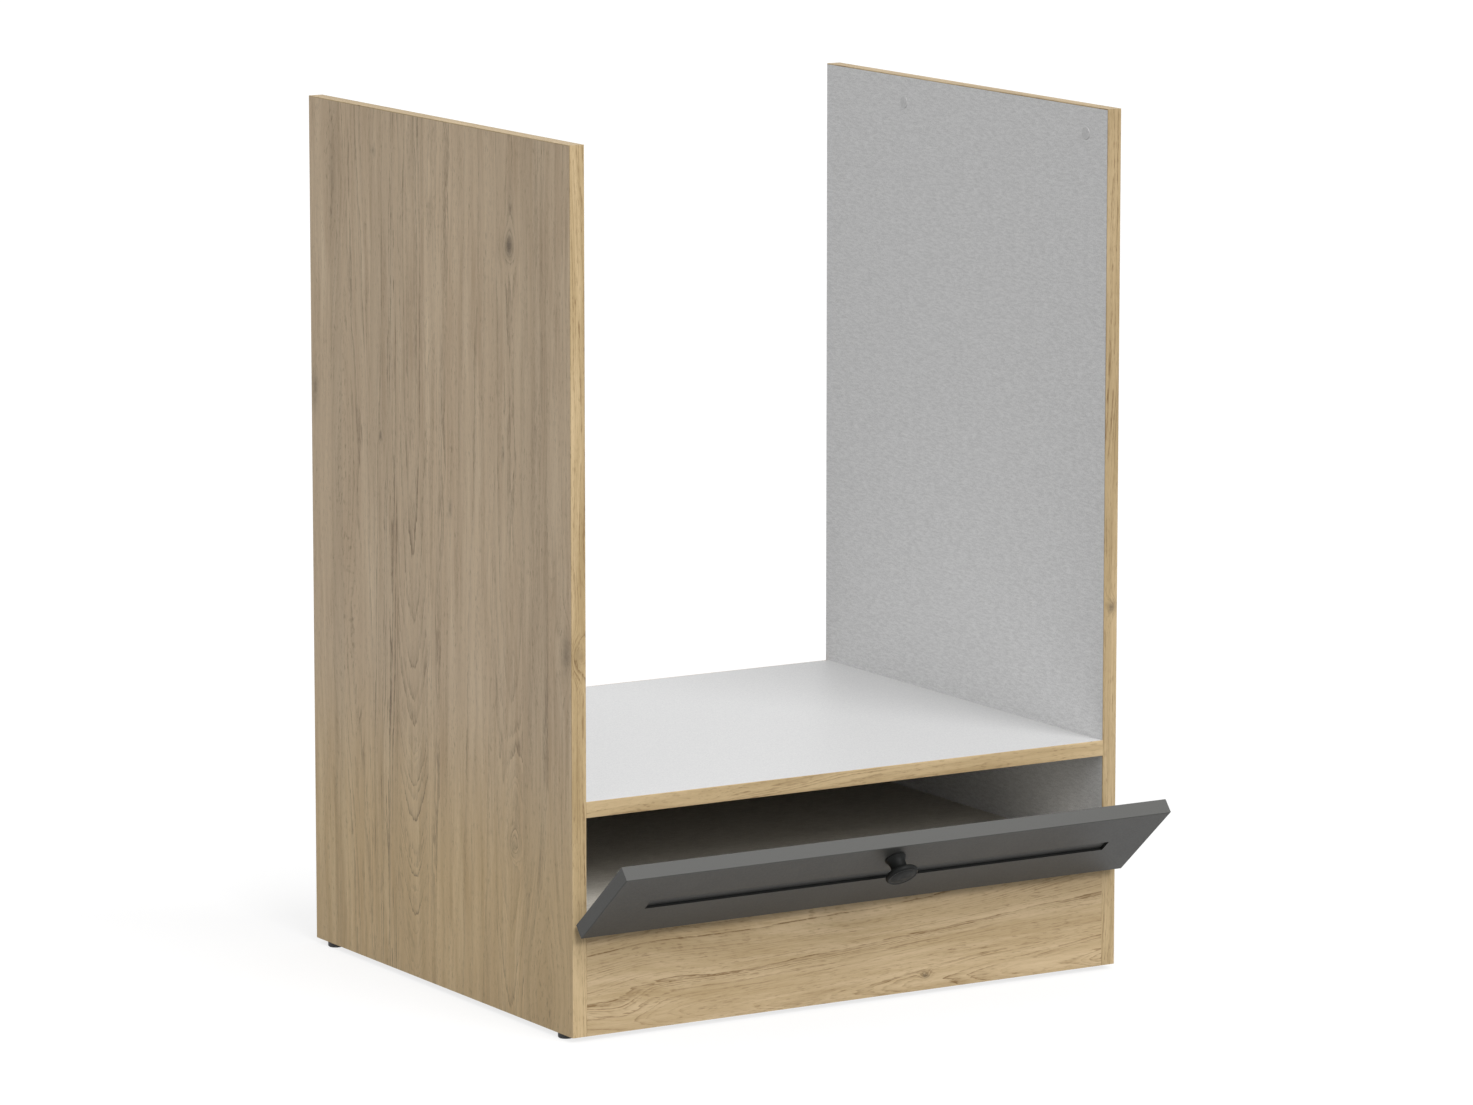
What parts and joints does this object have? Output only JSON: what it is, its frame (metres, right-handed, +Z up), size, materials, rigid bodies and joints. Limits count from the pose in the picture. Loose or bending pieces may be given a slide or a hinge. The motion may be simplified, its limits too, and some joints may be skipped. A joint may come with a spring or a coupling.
{
  "type": "oven housing base unit",
  "caption": "Base-height oven housing: side panels on glides, an oven shelf under an open niche, and a framed drop-down flap with a knob over a low storage bay and plinth.",
  "frame": {"origin": "on the floor, under the middle of the outline at rest, which includes the flap as it stands open", "axes": "+X to the right seen from the front, +Y from the front to the back, +Z up"},
  "size_m": [0.6, 0.6034, 0.83],
  "materials": {
    "oak_board": "chipboard with matt oak decor outside and white melamine inside",
    "oak_edge": "ABS edge band printed with oak grain",
    "white_board": "chipboard with white melamine, fine pearl texture",
    "white_edge": "white ABS edge band",
    "hardboard": "thin high-density fibreboard, lacquered",
    "graphite_mdf": "MDF wrapped in graphite foil, satin",
    "black_metal": "die-cast zinc, black satin enamel",
    "black_plastic": "moulded black plastic",
    "grey_plastic": "moulded grey plastic",
    "buffer_rubber": "clear soft polyurethane",
    "steel": "zinc-plated steel",
    "hinge_steel": "nickel-plated rolled steel",
    "zinc": "die-cast zinc",
    "beech": "turned beech"
  },
  "bodies": {
    "carcass": {"left_side_panel": "oak_board", "right_side_panel": "oak_board", "left_front_edge_band": "oak_edge", "right_front_edge_band": "oak_edge", "left_top_edge_band": "oak_edge", "right_top_edge_band": "oak_edge", "oven_shelf": "white_board", "shelf_edge_band": "oak_edge", "floor_panel": "white_board", "floor_edge_band": "white_edge", "plinth_panel": "oak_board", "back_panel": "hardboard", "back_panel_nails": "steel", "glide_front_left": "black_plastic", "glide_front_right": "black_plastic", "glide_rear_left": "black_plastic", "glide_rear_right": "black_plastic", "left_cover_caps": "grey_plastic", "right_cover_caps": "grey_plastic", "shelf_cams": "zinc", "shelf_cam_bolts": "steel", "shelf_dowels": "beech", "floor_cams": "zinc", "floor_cam_bolts": "steel", "floor_dowels": "beech", "plinth_cams": "zinc", "plinth_cam_bolts": "steel", "plinth_dowels": "beech", "left_hinge_carcass_leaf": "hinge_steel", "left_hinge_pin": "hinge_steel", "right_hinge_carcass_leaf": "hinge_steel", "right_hinge_pin": "hinge_steel", "carcass_hinge_screws": "steel"},
    "flap": {"left_hinge_flap_leaf": "hinge_steel", "right_hinge_flap_leaf": "hinge_steel", "flap_hinge_screws": "steel", "flap_top_rail": "graphite_mdf", "flap_bottom_rail": "graphite_mdf", "flap_left_stile": "graphite_mdf", "flap_right_stile": "graphite_mdf", "flap_centre_panel": "graphite_mdf", "flap_mitre_dowels": "beech", "knob": "black_metal", "knob_screw": "steel", "flap_buffers": "buffer_rubber"}
  },
  "joints": [
    {"name": "flap_hinge", "type": "hinge", "parent": "carcass", "child": "flap", "pos_m": [0, -0.19925, 0.1115], "axis": [1, 0, 0], "range_deg": [-50, 50]}
  ]
}
